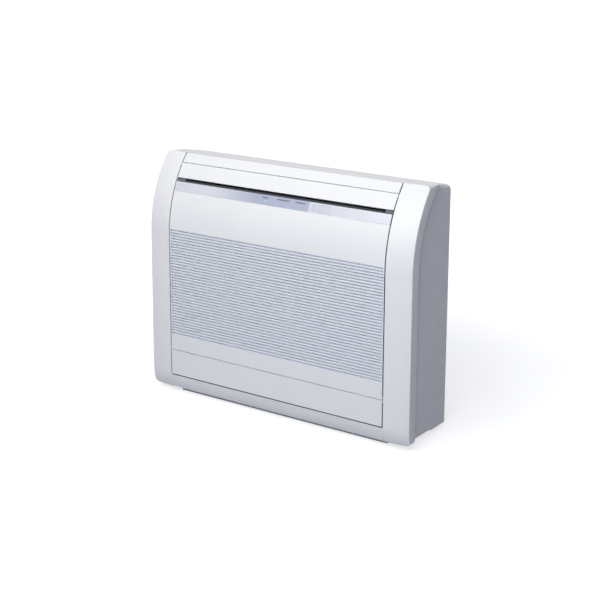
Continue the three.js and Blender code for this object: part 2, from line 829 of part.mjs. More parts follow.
function ductBody(duct) {
  const { short, long } = ductLines(duct);
  const shortWall = alongX(ribbon(short, ductWall), -ductHalf, ductHalf);
  const longWall = alongX(ribbon(long, ductWall), -ductHalf, ductHalf);
  const view = [...short, ...long.slice().reverse()];
  const ends = [-ductHalf, ductHalf - ductWall].map((x) => {
    const ring = alongX(circle(duct.fan, 20, 20), x, x + ductWall);
    return cut(join(alongX(view, x, x + ductWall), ring), alongX(circle(duct.fan, 14, 20), x - 1, x + 4));
  });
  const bores = vanePositions().flatMap((x) => {
    return [0, duct.height].map((level) => {
      return ductRod(duct, x, duct.vane.pivot, level - ductWall, level + ductWall, pinRadius + pinClear);
    });
  });
  return cut(join(shortWall, longWall, ...ends), ...bores);
}

function vanePositions() {
  const positions = [];
  for (let i = 0; i < vaneCount; i += 1) {
    positions.push((i - (vaneCount - 1) / 2) * vanePitch);
  }
  return positions;
}

// A round pin that stands square to the duct's floor.
function ductRod(duct, x, along, from, to, radius) {
  const points = circle([0, 0], radius, 8);
  return sweep(points, [from, to], (u, v, across) => {
    const [y, z] = onDuct(duct, along + v, across);
    return [x + u, y, z];
  });
}

add('upper_duct', ductBody(upperDuct), white, 0.6);
add('lower_duct', ductBody(lowerDuct), white, 0.6);

const fanHalf = ductHalf - ductWall - 3;
const shaftEnd = partitionOut + 9;
const bearingEnd = partitionOut + 3.6;

function crossFlowFan(centre) {
  const blades = [];
  for (let i = 0; i < bladeCount; i += 1) {
    const angle = i * 2 * Math.PI / bladeCount;
    const line = [[fanRadius - 11, 0], [fanRadius - 0.6, 0.25]].map(([r, twist]) => {
      return [centre[0] + r * Math.cos(angle + twist), centre[1] + r * Math.sin(angle + twist)];
    });
    blades.push(alongX(ribbon(line, 1.4), -fanHalf + 0.5, fanHalf - 0.5));
  }
  const ends = [-fanHalf, fanHalf - 2.5].map((x) => alongX(circle(centre, fanRadius, 24), x, x + 2.5));
  const middle = alongX(circle(centre, fanRadius, 24), -1.25, 1.25, [circle(centre, fanRadius - 13, 16)]);
  const shafts = [[-bearingEnd, -fanHalf + 1], [fanHalf - 1, shaftEnd]].map(([from, to]) => {
    return alongX(circle(centre, shaftRadius, 12), from, to);
  });
  return join(...ends, middle, ...blades, ...shafts);
}

add('upper_crossflow_fan', crossFlowFan(upperDuct.fan), dark, 0.6);
add('lower_crossflow_fan', crossFlowFan(lowerDuct.fan), dark, 0.6);

function fanMotor(centre) {
  const seat = partitionOut + fit;
  const flange = alongX(circle(centre, 30, 24), seat, seat + 3);
  const body = alongX(circle(centre, 27, 24), seat + 2, seat + 44);
  const cap = alongX(circle(centre, 12, 16), seat + 43, seat + 50);
  const bore = alongX(circle(centre, shaftRadius + pinClear, 16), seat - 1, shaftEnd + 2);
  const feet = [0, 90, 180, 270].map((degrees) => {
    const angle = radians(degrees + 45);
    const at = [centre[0] + 32 * Math.cos(angle), centre[1] + 32 * Math.sin(angle)];
    return alongX(circle(at, 5, 10), seat, seat + 3);
  });
  return cut(join(flange, body, cap, ...feet), bore);
}

add('upper_fan_motor', fanMotor(upperDuct.fan), grey, 0.4, 0.6);
add('lower_fan_motor', fanMotor(lowerDuct.fan), grey, 0.4, 0.6);

function fanBearing(centre) {
  const seat = -partitionOut - fit;
  const ring = alongX(circle(centre, 11.2, 20), seat - 6, -partitionIn);
  const flange = alongX(circle(centre, 18, 20), seat - 6, seat);
  const bore = alongX(circle(centre, shaftRadius + pinClear, 16), seat - 4, 0);
  return cut(join(ring, flange), bore);
}

add('upper_fan_bearing', fanBearing(upperDuct.fan), dark, 0.6);
add('lower_fan_bearing', fanBearing(lowerDuct.fan), dark, 0.6);

function louverMotor(centre) {
  const seat = partitionOut + fit;
  const body = alongX(circle(centre, 12, 16), seat, seat + 17);
  const boss = alongX(circle(centre, 4, 12), seat + 16, seat + 20);
  const [y, z] = centre;
  const ears = alongX(rectangle(y - 3.5, y + 3.5, z - 17, z + 17), seat, seat + 2);
  return join(body, boss, ears);
}

add('upper_louver_motor', louverMotor(onDuct(upperDuct, 28.6, 37.7)), white, 0.5);
add('lower_louver_motor', louverMotor(onDuct(lowerDuct, 48, 29.6)), white, 0.5);

// Vanes and the bars that move them together --------------------------------------

const linkLevel = 1.4;
const linkHeight = 2.2;
const pegBack = 4;
const pegRadius = 1.1;

function ductPlate(duct, points, from, to) {
  return sweep(points, [from, to], (along, across, x) => {
    const [y, z] = onDuct(duct, along, across);
    return [x, y, z];
  });
}

function vane(duct, x) {
  const { front, pivot, rear, slant } = duct.vane;
  const low = ductWall / 2 + 0.8;
  const high = duct.height - ductWall / 2 - 0.8;
  const peg = rear - pegBack;
  const notch = peg - 6;
  const step = ductWall / 2 + linkLevel + linkHeight + 0.8;
  const plate = [
    [front + slant * low, low],
    [notch, low],
    [notch, step],
    [rear, step],
    [rear, high],
    [front + slant * high, high],
  ];
  const blade = ductPlate(duct, plate, x - vaneThickness / 2, x + vaneThickness / 2);
  const pins = [
    ductRod(duct, x, pivot, -ductWall / 2, low + 0.5, pinRadius),
    ductRod(duct, x, pivot, high - 0.5, duct.height + ductWall / 2, pinRadius),
    ductRod(duct, x, peg, ductWall / 2 + linkLevel - 0.2, step + 0.5, pegRadius),
  ];
  return join(blade, ...pins);
}

function vaneLink(duct) {
  const low = ductWall / 2 + linkLevel;
  const peg = duct.vane.rear - pegBack;
  const points = rectangle(peg - 4, peg + 3.4, low, low + linkHeight);
  const reach = vanePositions()[vaneCount - 1] + 10;
  const bar = ductPlate(duct, points, -reach, reach);
  const slots = vanePositions().map((x) => {
    const opening = rectangle(peg - 2.9, peg + 1.7, low - 1, low + linkHeight + 1);
    return ductPlate(duct, opening, x - 1.6, x + 1.6);
  });
  return cut(bar, ...slots);
}

for (const [side, duct] of [['upper', upperDuct], ['lower', lowerDuct]]) {
  vanePositions().forEach((x, i) => {
    add(`${side}_vane_${i + 1}`, vane(duct, x), grey, 0.6);
  });
  add(`${side}_vane_link`, vaneLink(duct), grey, 0.6);
}

// Coil, drain pan and pipes ----------------------------------------------------------

const coilHalf = ductHalf - wall - fit;
const coilMiddle = (coilFront + coilRear) / 2;

function coilFins() {
  const web = 1.5;
  const fin = 0.9;
  const front = [];
  const back = [];
  for (let i = 0; i < finCount; i += 1) {
    const x = -coilHalf + fin + (2 * coilHalf - 2 * fin) * i / (finCount - 1);
    const [low, high] = [coilMiddle - web, coilMiddle + web];
    front.push([x - fin, low], [x - fin, coilFront], [x + fin, coilFront], [x + fin, low]);
    back.push([x - fin, high], [x - fin, coilRear], [x + fin, coilRear], [x + fin, high]);
  }
  return alongZ([...front, ...back.reverse()], coilBottom, coilTop);
}

add('coil_fins', coilFins(), metal, 0.4, 0.8);

function coilEnd() {
  const view = rectangle(coilFront - 1.2, coilRear + 2, coilBottom - 1, coilTop + 1);
  const plate = alongX(view, coilHalf + fit, ductHalf);
  const bends = [];
  const spacing = (coilTop - coilBottom - 40) / bendCount;
  for (let i = 0; i < bendCount; i += 1) {
    const middle = coilBottom + 20 + spacing * (i + 0.5);
    const path = [];
    for (let k = 0; k <= 6; k += 1) {
      const angle = -Math.PI / 2 + Math.PI * k / 6;
      path.push([ductHalf - 0.6 + 9.5 * Math.cos(angle), coilMiddle, middle + 9.5 * Math.sin(angle)]);
    }
    bends.push(pipe(path, 3.4, 6, 5));
  }
  return join(plate, ...bends);
}

const rightCoilEnd = coilEnd();
add('right_coil_end', rightCoilEnd, metal, 0.4, 0.8);
add('left_coil_end', mirror(rightCoilEnd), metal, 0.4, 0.8);

const panFront = frontY + frameRear + fit + 1.1;

function drainPan() {
  const line = [
    [panFront, coilBottom - 5],
    [panFront, coilBottom - 24],
    [coilRear + 6, coilBottom - 24],
    [coilRear + 6, coilBottom - 5],
  ];
  const body = alongX(ribbon(line, 2.2), -ductHalf, ductHalf);
  const ends = [-ductHalf, ductHalf - 2.2].map((x) => {
    return box(x, x + 2.2, panFront, coilRear + 6, coilBottom - 24, coilBottom - 5);
  });
  return join(body, ...ends);
}

add('drain_pan', drainPan(), white, 0.6);

const pipeX = -partitionOut - 22;
const pipeEndY = rearY - 60;
const nutLength = 16;

function refrigerantPipe(startZ, radius, endX, endZ) {
  const start = -ductHalf - fit;
  return pipe([
    [start, coilMiddle, startZ],
    [pipeX + 8, coilMiddle, startZ],
    [pipeX - 2, coilMiddle + 3, startZ - 10],
    [endX, coilMiddle + 8, startZ - 40],
    [endX, coilMiddle + 10, endZ + 30],
    [endX, coilMiddle + 25, endZ + 4],
    [endX, coilMiddle + 45, endZ],
    [endX, pipeEndY, endZ],
  ], radius, 8, 20);
}

add('gas_pipe', refrigerantPipe(coilBottom + 60, 4.8, pipeX - 12, 60), copper, 0.3, 0.9);
add('liquid_pipe', refrigerantPipe(coilBottom + 22, 3.2, pipeX + 4, 40), copper, 0.3, 0.9);

function flareNut(x, z, radius) {
  const size = radius + 4;
  const start = pipeEndY + fit;
  const body = alongY(circle([x, z], size, 6), start, start + nutLength);
  const bore = alongY(circle([x, z], radius, 12), start + 6, start + nutLength + 1);
  return cut(body, bore);
}

add('gas_flare_nut', flareNut(pipeX - 12, 60, 4.8), new THREE.Color(0xc9a24a), 0.3, 0.9);
add('liquid_flare_nut', flareNut(pipeX + 4, 40, 3.2), new THREE.Color(0xc9a24a), 0.3, 0.9);

// Controls --------------------------------------------------------------------------

const controlIn = partitionOut + fit;
const controlOut = controlIn + 50;
const terminalLow = lowerDuct.fan[1] + 38;
const control = {
  front: rearY - 136,
  back: rearY - 28,
  low: terminalLow + 27,
  high: height - controlTopDrop,
};

function controlBox() {
  const t = 1.5;
  const body = box(controlIn, controlOut, control.front, control.back, control.low, control.high);
  const { front, back, low, high } = control;
  const hollow = box(controlIn + t, controlOut + 1, front + t, back - t, low + t, high - t);
  const posts = [front + 10, back - 10].flatMap((y) => {
    return [low + 10, high - 10].map((z) => alongX(circle([y, z], 3, 10), controlIn + 1, controlIn + 7));
  });
  return join(cut(body, hollow), ...posts);
}

add('control_box', controlBox(), metal, 0.4, 0.8);

function controlCover() {
  const { front, back, low, high } = control;
  const x = controlOut + fit;
  return join(
    box(x, x + 1.5, front, back, low, high),
    box(x, x + 3.5, front + 8, back - 8, low + 8, high - 8),
  );
}

add('control_cover', controlCover(), metal, 0.4, 0.8);

function controlBoard() {
  const x = controlIn + 7 + fit;
  const { front, back, low, high } = control;
  const board = box(x, x + 1.6, front + 4, back - 4, low + 4, high - 4);
  const block = box(x + 1, x + 22, front + 16, front + 46, high - 65, high - 35);
  const sink = box(x + 1, x + 26, back - 47, back - 17, high - 80, high - 30);
  const cans = [14, 36, 58].map((along) => {
    return alongX(circle([front + along, high - 100], 9, 14), x + 1, x + 24);
  });
  const relays = [18, 50, 80].map((along) => {
    return box(x + 1, x + 15, front + along - 8, front + along + 8, low + 17, low + 35);
  });
  return join(board, block, sink, ...cans, ...relays);
}

add('control_board', controlBoard(), green, 0.5);

function terminalBlock() {
  const seat = partitionOut + fit;
  const front = rearY - 80;
  const base = box(seat, seat + 16, front, front + 68, terminalLow, terminalLow + 20);
  const cells = [];
  for (let i = 0; i < 4; i += 1) {
    const y = front + 8 + i * 17.3;
    cells.push(box(seat + 8, seat + 17, y - 5.5, y + 5.5, terminalLow + 3, terminalLow + 17));
  }
  return cut(base, ...cells);
}

add('terminal_block', terminalBlock(), dark, 0.5);

const buttonTravel = 1.5;

function pushButton() {
  const cap = alongY(circle([buttonX, buttonZ], 3.9, 16), frontY + 12.4, frontY + 17.4);
  const collar = alongY(circle([buttonX, buttonZ], 5.4, 16), frontY + frameRear + 0.4, frontY + 18.4);
  return join(cap, collar);
}

add('manual_button', pushButton(), grey, 0.4);

function outletSwitch() {
  const x0 = buttonX - 2;
  const x1 = buttonX + 2;
  const knob = box(x0, x1, frontY + 11.8, frontY + 17.4, switchZ - 6, switchZ);
  const slider = box(x0 - 3, x1 + 3, frontY + frameRear + 0.4, frontY + 18.2, switchZ - 10, switchZ + 4);
  return join(knob, slider);
}

add('outlet_switch', outletSwitch(), dark, 0.4);

export default group;
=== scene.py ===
"""Looks of a floor standing air conditioner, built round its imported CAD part."""

import json
import math

import bmesh
import bpy
from mathutils import Matrix, Vector

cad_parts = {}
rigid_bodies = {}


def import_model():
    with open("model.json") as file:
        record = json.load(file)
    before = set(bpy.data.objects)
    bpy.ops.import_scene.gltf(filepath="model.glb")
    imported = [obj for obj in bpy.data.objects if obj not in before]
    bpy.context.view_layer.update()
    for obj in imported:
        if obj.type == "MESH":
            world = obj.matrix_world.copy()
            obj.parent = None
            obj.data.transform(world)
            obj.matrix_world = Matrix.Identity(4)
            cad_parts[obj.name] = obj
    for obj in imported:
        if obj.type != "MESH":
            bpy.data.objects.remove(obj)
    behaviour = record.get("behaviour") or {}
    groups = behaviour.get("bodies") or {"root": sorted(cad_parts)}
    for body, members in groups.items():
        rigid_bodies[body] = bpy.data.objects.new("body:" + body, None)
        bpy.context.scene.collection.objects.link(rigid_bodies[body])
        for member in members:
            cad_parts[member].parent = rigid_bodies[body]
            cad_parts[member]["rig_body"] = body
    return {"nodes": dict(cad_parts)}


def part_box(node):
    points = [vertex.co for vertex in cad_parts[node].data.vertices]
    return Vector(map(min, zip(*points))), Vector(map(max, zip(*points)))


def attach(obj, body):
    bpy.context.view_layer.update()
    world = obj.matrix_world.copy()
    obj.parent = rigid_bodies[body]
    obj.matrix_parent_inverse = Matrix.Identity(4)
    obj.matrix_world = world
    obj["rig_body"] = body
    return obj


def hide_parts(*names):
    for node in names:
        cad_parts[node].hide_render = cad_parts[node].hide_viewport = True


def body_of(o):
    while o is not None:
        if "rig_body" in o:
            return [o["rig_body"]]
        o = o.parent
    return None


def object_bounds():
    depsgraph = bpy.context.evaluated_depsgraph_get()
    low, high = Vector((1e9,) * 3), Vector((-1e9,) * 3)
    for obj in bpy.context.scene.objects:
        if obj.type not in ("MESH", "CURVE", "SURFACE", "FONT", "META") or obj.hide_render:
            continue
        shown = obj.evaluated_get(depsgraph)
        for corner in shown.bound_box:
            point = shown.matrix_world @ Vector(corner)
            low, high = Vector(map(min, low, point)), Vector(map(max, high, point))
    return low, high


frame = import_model()
cad_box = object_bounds()
MM = 0.001

# ---------------------------------------------------------------- camera
IMAGE_SIDE = 600
CAMERA_PLACE = (1.8187, -2.6429, 1.2513)
CAMERA_PAN = math.radians(35.63)
CAMERA_TILT = math.radians(13.198)
CAMERA_ROLL = math.radians(-0.072)
FOCAL_PIXELS = 1402.4
CENTRE_PIXELS = (-30.1, -93.0)
SENSOR = 36.0
FARTHEST = 50.0

camera_data = bpy.data.cameras.new("camera")
camera_data.sensor_width = SENSOR
camera_data.lens = FOCAL_PIXELS / IMAGE_SIDE * SENSOR
camera_data.shift_x = -CENTRE_PIXELS[0] / IMAGE_SIDE
camera_data.shift_y = CENTRE_PIXELS[1] / IMAGE_SIDE
camera_data.clip_end = FARTHEST
camera = bpy.data.objects.new("camera", camera_data)
bpy.context.scene.collection.objects.link(camera)
forward = Vector((
    -math.sin(CAMERA_PAN) * math.cos(CAMERA_TILT),
    math.cos(CAMERA_PAN) * math.cos(CAMERA_TILT),
    -math.sin(CAMERA_TILT),
))
level = Vector((math.cos(CAMERA_PAN), math.sin(CAMERA_PAN), 0))
upward = level.cross(forward)
across = level * math.cos(CAMERA_ROLL) + upward * math.sin(CAMERA_ROLL)
upward = across.cross(forward)
camera.matrix_world = Matrix((
    (across.x, upward.x, -forward.x, CAMERA_PLACE[0]),
    (across.y, upward.y, -forward.y, CAMERA_PLACE[1]),
    (across.z, upward.z, -forward.z, CAMERA_PLACE[2]),
    (0, 0, 0, 1),
))
bpy.context.scene.camera = camera


# ---------------------------------------------------------------- materials
# A wave texture of scale 1 runs through 20 radians in one metre.
BAND_SCALE = 20
# The sockets of a mix node that is set to colours.
MIX_FIRST = 6
MIX_SECOND = 7
MIX_RESULT = 2


class Surface:
    """A node material that is built up in small steps round one shader."""

    def __init__(self, name, colour, roughness, metallic=0.0):
        self.material = bpy.data.materials.new(name)
        self.material.use_nodes = True
        self.material.diffuse_color = (*colour, 1)
        self.nodes = self.material.node_tree.nodes
        self.links = self.material.node_tree.links
        self.shader = self.nodes["Principled BSDF"]
        self.colour = colour
        self.roughness = roughness
        self.shader.inputs["Base Color"].default_value = (*colour, 1)
        self.shader.inputs["Roughness"].default_value = roughness
        self.shader.inputs["Metallic"].default_value = metallic
        self.place = self.nodes.new("ShaderNodeTexCoord").outputs["Object"]
        self.height = None

    def scaled(self, size):
        """The place on the surface, stretched to the given size in each direction."""
        mapping = self.nodes.new("ShaderNodeMapping")
        mapping.inputs["Scale"].default_value = [1 / length for length in size]
        self.links.new(self.place, mapping.inputs["Vector"])
        return mapping.outputs["Vector"]

    def noise(self, size, detail):
        """Soft cloudy pattern; size is the width of one cloud in metres."""
        sizes = size if isinstance(size, tuple) else (size, size, size)
        texture = self.nodes.new("ShaderNodeTexNoise")
        texture.inputs["Scale"].default_value = 1
        texture.inputs["Detail"].default_value = detail
        self.links.new(self.scaled(sizes), texture.inputs["Vector"])
        return texture.outputs["Fac"]

    def wave(self, pitch, axis):
        """Straight parallel bands across one axis, one every pitch metres."""
        texture = self.nodes.new("ShaderNodeTexWave")
        texture.wave_type = "BANDS"
        texture.bands_direction = axis
        texture.wave_profile = "SIN"
        texture.inputs["Scale"].default_value = math.tau / BAND_SCALE / pitch
        self.links.new(self.place, texture.inputs["Vector"])
        return texture.outputs["Fac"]

    def cells(self, size):
        """Small grains; size is the width of one grain in metres."""
        texture = self.nodes.new("ShaderNodeTexVoronoi")
        texture.inputs["Scale"].default_value = 1
        self.links.new(self.scaled((size, size, size)), texture.inputs["Vector"])
        return texture.outputs["Distance"]

    def ramp(self, factor, low, high, start=0.35, end=0.65):
        """Turns a factor into a number that runs from low to high."""
        change = self.nodes.new("ShaderNodeMapRange")
        change.inputs["From Min"].default_value = start
        change.inputs["From Max"].default_value = end
        change.inputs["To Min"].default_value = low
        change.inputs["To Max"].default_value = high
        self.links.new(factor, change.inputs["Value"])
        return change.outputs["Result"]

    def tint(self, factor, other, start=0.35, end=0.65):
        """Mixes the colour so far with another where the factor is high."""
        mix = self.nodes.new("ShaderNodeMix")
        mix.data_type = "RGBA"
        self.links.new(self.ramp(factor, 0, 1, start, end), mix.inputs["Factor"])
        colour = self.shader.inputs["Base Color"]
        if colour.is_linked:
            self.links.new(colour.links[0].from_socket, mix.inputs[MIX_FIRST])
        else:
            mix.inputs[MIX_FIRST].default_value = (*self.colour, 1)
        mix.inputs[MIX_SECOND].default_value = (*other, 1)
        self.links.new(mix.outputs[MIX_RESULT], colour)

    def inside(self, axis, low, high, fade_before, fade_after):
        """1 where the place on an axis lies between two values, fading to 0 outside them."""
        parts = self.nodes.new("ShaderNodeSeparateXYZ")
        self.links.new(self.place, parts.inputs["Vector"])
        along = parts.outputs[axis]
        both = self.nodes.new("ShaderNodeMath")
        both.operation = "MULTIPLY"
        self.links.new(self.ramp(along, 0, 1, low - fade_before, low), both.inputs[0])
        self.links.new(self.ramp(along, 1, 0, high, high + fade_after), both.inputs[1])
        return both.outputs[0]

    def vary_roughness(self, factor, spread):
        """Lets the roughness run up and down round its base value."""
        rough = self.ramp(factor, self.roughness - spread, self.roughness + spread)
        self.links.new(rough, self.shader.inputs["Roughness"])

    def bump(self, factor, distance):
        """Raises the surface by a real distance in metres where the factor is high."""
        bump = self.nodes.new("ShaderNodeBump")
        bump.inputs["Distance"].default_value = distance
        bump.inputs["Strength"].default_value = 1.0
        self.links.new(factor, bump.inputs["Height"])
        if self.height:
            self.links.new(self.height, bump.inputs["Normal"])
        self.height = bump.outputs["Normal"]
        self.links.new(self.height, self.shader.inputs["Normal"])

    def set(self, **values):
        """Sets the shader's own sockets, named with _ in place of each space."""
        for name, value in values.items():
            self.shader.inputs[name.replace("_", " ")].default_value = value


def darker(colour, share):
    """The same colour with only a share of its light."""
    return tuple(channel * share for channel in colour)


def moulded(name, colour, roughness=0.42, grain=0.9 * MM, depth=0.02 * MM, shift=0.96):
    """Injection moulded plastic: fine grain, faint clouds and a soft gloss."""
    surface = Surface(name, colour, roughness)
    surface.tint(surface.noise(160 * MM, 3), darker(colour, shift))
    surface.tint(surface.noise(12 * MM, 4), darker(colour, 0.985))
    surface.vary_roughness(surface.noise(50 * MM, 3), 0.04)
    surface.bump(surface.noise(grain, 1), depth)
    surface.bump(surface.noise(90 * MM, 1), 0.25 * MM)
    return surface


LINE_WIDTH = 0.4 * MM
LINE_LENGTH = 36 * MM


def brushed(name, colour, roughness, along="X"):
    """Rolled or drawn metal with fine lines along one axis."""
    surface = Surface(name, colour, roughness, 1.0)
    size = [LINE_WIDTH, LINE_WIDTH, LINE_WIDTH]
    size["XYZ".index(along)] = LINE_LENGTH
    lines = surface.noise(tuple(size), 2)
    surface.tint(surface.noise(30 * MM, 4), darker(colour, 0.82))
    surface.tint(lines, darker(colour, 0.9))
    surface.vary_roughness(surface.noise(20 * MM, 3), 0.08)
    surface.bump(lines, 0.01 * MM)
    return surface


# Where each of these tints starts and ends on the object, measured along one axis.
SLATS_LOW = 155.5 * MM
SLATS_HIGH = 423 * MM
LENSES_LOW = -64 * MM
LENSES_HIGH = 85 * MM
RECEIVER_LOW = 91 * MM
RECEIVER_HIGH = 150 * MM
NARROW_FADE = 1.5 * MM
LENS_FADE = 6 * MM
RECEIVER_FADE = 4 * MM
WIDE_FADE = 120 * MM

WHITE = (0.86, 0.862, 0.858)
# The intake blades are white plastic; this darker, bluer white is painted shade for the shade
# behind the slots.
BLADE_SHADED_WHITE = (0.80, 0.825, 0.85)
SILVER = (0.62, 0.64, 0.68)
LAVENDER = (0.37, 0.395, 0.51)
# Painted shade: a darker, bluer white laid over the grille's slotted band for the shade in its
# grooves.
SLAT_PAINTED_SHADE = (0.74, 0.775, 0.83)

white = moulded("white_plastic", WHITE)
white.set(Specular_IOR_Level=0.45, Coat_Weight=0.12, Coat_Roughness=0.25)

# White plastic blades, made darker and bluer than the grille as painted shade.
blade_shaded_white = moulded("blade_plastic_painted_shade", BLADE_SHADED_WHITE, 0.45)

grille_white = moulded("grille_plastic", WHITE)
grille_white.set(Specular_IOR_Level=0.45, Coat_Weight=0.12, Coat_Roughness=0.25)
# Painted shade over the slotted band of the grille, where the grooves between the slots fall
# into shade.
painted_slat_shade = grille_white.inside("Z", SLATS_LOW, SLATS_HIGH, NARROW_FADE, NARROW_FADE)
grille_white.tint(painted_slat_shade, SLAT_PAINTED_SHADE, 0, 1)

grey_base = moulded("grey_base_plastic", (0.58, 0.59, 0.61), 0.6, 1.2 * MM, 0.04 * MM)

dark_duct = moulded("duct_plastic", (0.20, 0.20, 0.225), 0.55, 1.2 * MM, 0.04 * MM, 0.9)

lip_grey = moulded("lip_plastic", (0.125, 0.13, 0.15), 0.5, 0.9 * MM, 0.03 * MM, 0.9)

# Painted shade: near-black that stands in for the shadow inside the seams between the front
# parts.
seam_shadow_black = moulded("painted_seam_shadow", (0.035, 0.037, 0.045), 0.7, 0.6 * MM, 0.03 * MM, 0.8)

frame_grey = moulded("frame_plastic", (0.34, 0.355, 0.38), 0.55, 1.1 * MM, 0.03 * MM)

black_plastic = moulded("black_plastic", (0.02, 0.02, 0.022), 0.42, 0.8 * MM, 0.03 * MM, 0.7)

strip_silver = Surface("silver_strip", SILVER, 0.45, 0.2)
flakes = strip_silver.cells(0.45 * MM)
round_lenses = strip_silver.inside("X", LENSES_LOW, LENSES_HIGH, WIDE_FADE, LENS_FADE)
strip_silver.tint(round_lenses, LAVENDER, 0, 1)
round_receiver = strip_silver.inside("X", RECEIVER_LOW, RECEIVER_HIGH, RECEIVER_FADE, WIDE_FADE)
strip_silver.tint(round_receiver, darker(SILVER, 0.93), 0, 1)
strip_silver.tint(flakes, darker(SILVER, 0.9), 0.5, 1.6)
strip_silver.vary_roughness(strip_silver.noise(30 * MM, 3), 0.05)
strip_silver.bump(flakes, 0.004 * MM)
strip_silver.set(Specular_IOR_Level=0.3, Coat_Weight=0.15, Coat_Roughness=0.3)

lens_clear = Surface("frosted_lens", (0.50, 0.51, 0.64), 0.45)
lens_clear.tint(lens_clear.noise(2 * MM, 2), (0.57, 0.58, 0.70))
lens_clear.bump(lens_clear.noise(0.7 * MM, 1), 0.01 * MM)
lens_clear.set(Specular_IOR_Level=0.3, Coat_Weight=0.1, Coat_Roughness=0.3)

window_clear = Surface("receiver_window", (0.58, 0.60, 0.65), 0.4)
streaks = window_clear.noise((30 * MM, 500 * MM, 500 * MM), 2)
window_clear.tint(streaks, (0.66, 0.68, 0.74))
window_clear.bump(window_clear.noise(0.9 * MM, 1), 0.006 * MM)
window_clear.set(Specular_IOR_Level=0.3, Coat_Weight=0.15, Coat_Roughness=0.3)

mark_grey = Surface("printed_mark", (0.11, 0.12, 0.16), 0.5)
mark_grey.tint(mark_grey.noise(1.2 * MM, 3), (0.17, 0.18, 0.23))
mark_grey.bump(mark_grey.noise(0.6 * MM, 1), 0.01 * MM)

steel = brushed("zinc_steel", (0.62, 0.63, 0.64), 0.42)
steel.tint(steel.cells(12 * MM), (0.5, 0.51, 0.53), 0.2, 0.9)

aluminium = brushed("fin_aluminium", (0.80, 0.81, 0.83), 0.35, "Z")

copper = brushed("copper_tube", (0.78, 0.40, 0.24), 0.3, "Z")
copper.tint(copper.noise(15 * MM, 5), (0.42, 0.19, 0.10), 0.52, 0.75)

brass = brushed("brass_nut", (0.78, 0.58, 0.28), 0.3)

board_green = Surface("circuit_board", (0.03, 0.20, 0.09), 0.4)
tracks = board_green.noise((4 * MM, 0.8 * MM, 0.8 * MM), 1)
board_green.tint(tracks, (0.05, 0.30, 0.14), 0.5, 0.56)
board_green.bump(board_green.noise(1 * MM, 2), 0.02 * MM)
board_green.set(Coat_Weight=0.5, Coat_Roughness=0.2)

foam_white = Surface("drain_pan_foam", (0.84, 0.84, 0.82), 0.85)
foam_beads = foam_white.cells(4 * MM)
foam_white.tint(foam_beads, (0.74, 0.74, 0.72), 0.35, 0.8)
foam_white.bump(foam_beads, -0.4 * MM)

MESH_PITCH = 1.6 * MM
mesh_blue = Surface("filter_mesh", (0.16, 0.18, 0.21), 0.6)
mesh_blue.tint(mesh_blue.wave(MESH_PITCH, "X"), (0.30, 0.33, 0.37), 0.4, 0.8)
mesh_blue.tint(mesh_blue.wave(MESH_PITCH, "Z"), (0.34, 0.37, 0.42), 0.5, 0.9)
mesh_blue.bump(mesh_blue.wave(MESH_PITCH, "X"), 0.2 * MM)
mesh_blue.bump(mesh_blue.wave(MESH_PITCH, "Z"), 0.2 * MM)

FINISHES = {
    "base_plinth": grey_base,
    "intake_grille": grille_white,
    "display_strip": strip_silver,
    "indicator_lens_1": lens_clear,
    "indicator_lens_2": lens_clear,
    "indicator_lens_3": lens_clear,
    "receiver_window": window_clear,
    "display_board": board_green,
    "control_board": board_green,
    "front_frame": frame_grey,
    "right_air_filter": mesh_blue,
    "left_air_filter": mesh_blue,
    "right_grille_catch": black_plastic,
    "left_grille_catch": black_plastic,
    "right_partition": steel,
    "left_partition": steel,
    "upper_duct": dark_duct,
    "lower_duct": dark_duct,
    "upper_crossflow_fan": black_plastic,
    "lower_crossflow_fan": black_plastic,
    "upper_fan_motor": steel,
    "lower_fan_motor": steel,
    "upper_fan_bearing": black_plastic,
    "lower_fan_bearing": black_plastic,
    "upper_louver_motor": steel,
    "lower_louver_motor": steel,
    "coil_fins": aluminium,
    "right_coil_end": copper,
    "left_coil_end": copper,
    "drain_pan": foam_white,
    "gas_pipe": copper,
    "liquid_pipe": copper,
    "gas_flare_nut": brass,
    "liquid_flare_nut": brass,
    "control_box": steel,
    "control_cover": steel,
    "terminal_block": black_plastic,
    "manual_button": white,
    "outlet_switch": frame_grey,
}
for node, thing in frame["nodes"].items():
    finish = FINISHES.get(node, white)
    if "vane" in node:
        finish = black_plastic
    thing.data.materials.clear()
    thing.data.materials.append(finish.material)

# ---------------------------------------------------------------- softened shells
SAME_POINT = 0.001 * MM
FLAT_ANGLE = math.radians(0.8)
EDGE_ANGLE = math.radians(30)
SHELL_SMOOTH_ANGLE = math.radians(40)
PIECE_SMOOTH_ANGLE = math.radians(35)
BEVEL_STEPS = 2
ROUND_PROFILE = 0.5


def add_piece(name, mesh, body, surface):
    """Puts a mesh in the scene with one surface, and lets it ride on a body."""
    piece = bpy.data.objects.new(name, mesh)
    bpy.context.scene.collection.objects.link(piece)
    mesh.materials.clear()
    mesh.materials.append(surface.material)
    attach(piece, body)
    return piece


